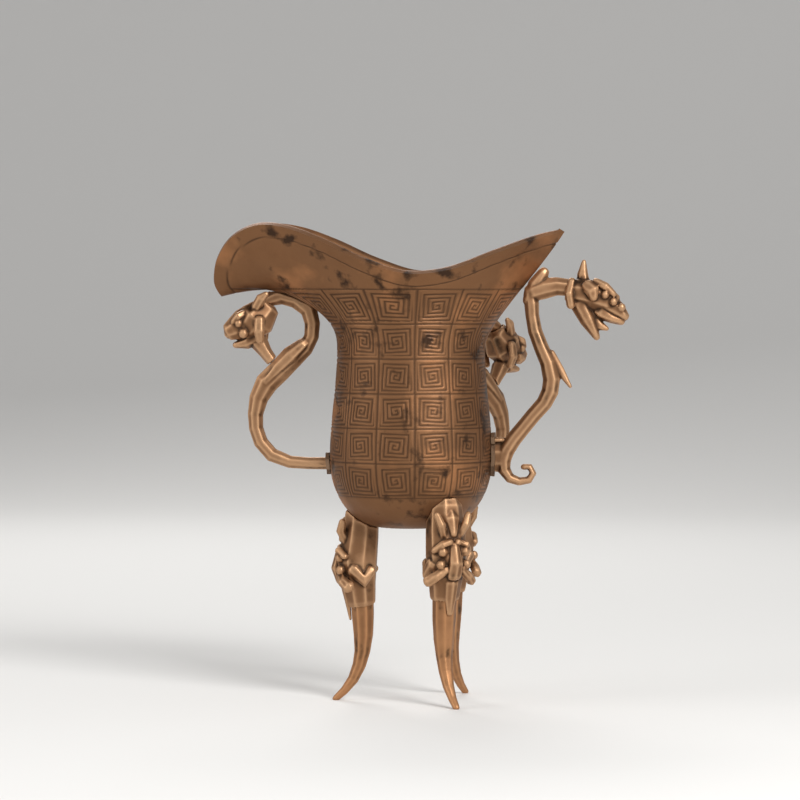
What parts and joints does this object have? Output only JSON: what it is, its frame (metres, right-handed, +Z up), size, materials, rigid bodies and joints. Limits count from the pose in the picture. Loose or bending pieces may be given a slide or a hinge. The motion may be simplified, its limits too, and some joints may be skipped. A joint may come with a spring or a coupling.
{
  "type": "three-legged wine cup",
  "caption": "Bronze wine cup with a drooping spout, a pointed tail, dragon handles and tusk legs that come out of beast masks.",
  "frame": {"origin": "on the table, under the middle of the whole cup's box", "axes": "+Z up, the spout points along -X and the tail along +X, and the side handle is on the +Y side"},
  "size_m": [0.1306, 0.0722, 0.1508],
  "materials": {
    "bowl_bronze": "worn brown patina over cast key-fret ornament",
    "relief_bronze": "brown patina, rubbed to pale bronze on the high places",
    "leg_bronze": "smooth rubbed brown patina",
    "solder": "dull, under the same patina"
  },
  "bodies": {
    "root": {"bowl": "bowl_bronze", "spout_handle_strap": "relief_bronze", "spout_handle_head": "relief_bronze", "spout_handle_foot_solder": "solder", "side_handle_strap": "relief_bronze", "side_handle_head": "relief_bronze", "side_handle_foot_solder": "solder", "tail_handle_strap": "relief_bronze", "tail_handle_head": "relief_bronze", "tail_handle_foot_solder": "solder", "spout_leg_tusk": "leg_bronze", "spout_leg_mask": "relief_bronze", "front_leg_tusk": "leg_bronze", "front_leg_mask": "relief_bronze", "back_leg_tusk": "leg_bronze", "back_leg_mask": "relief_bronze"}
  },
  "joints": []
}
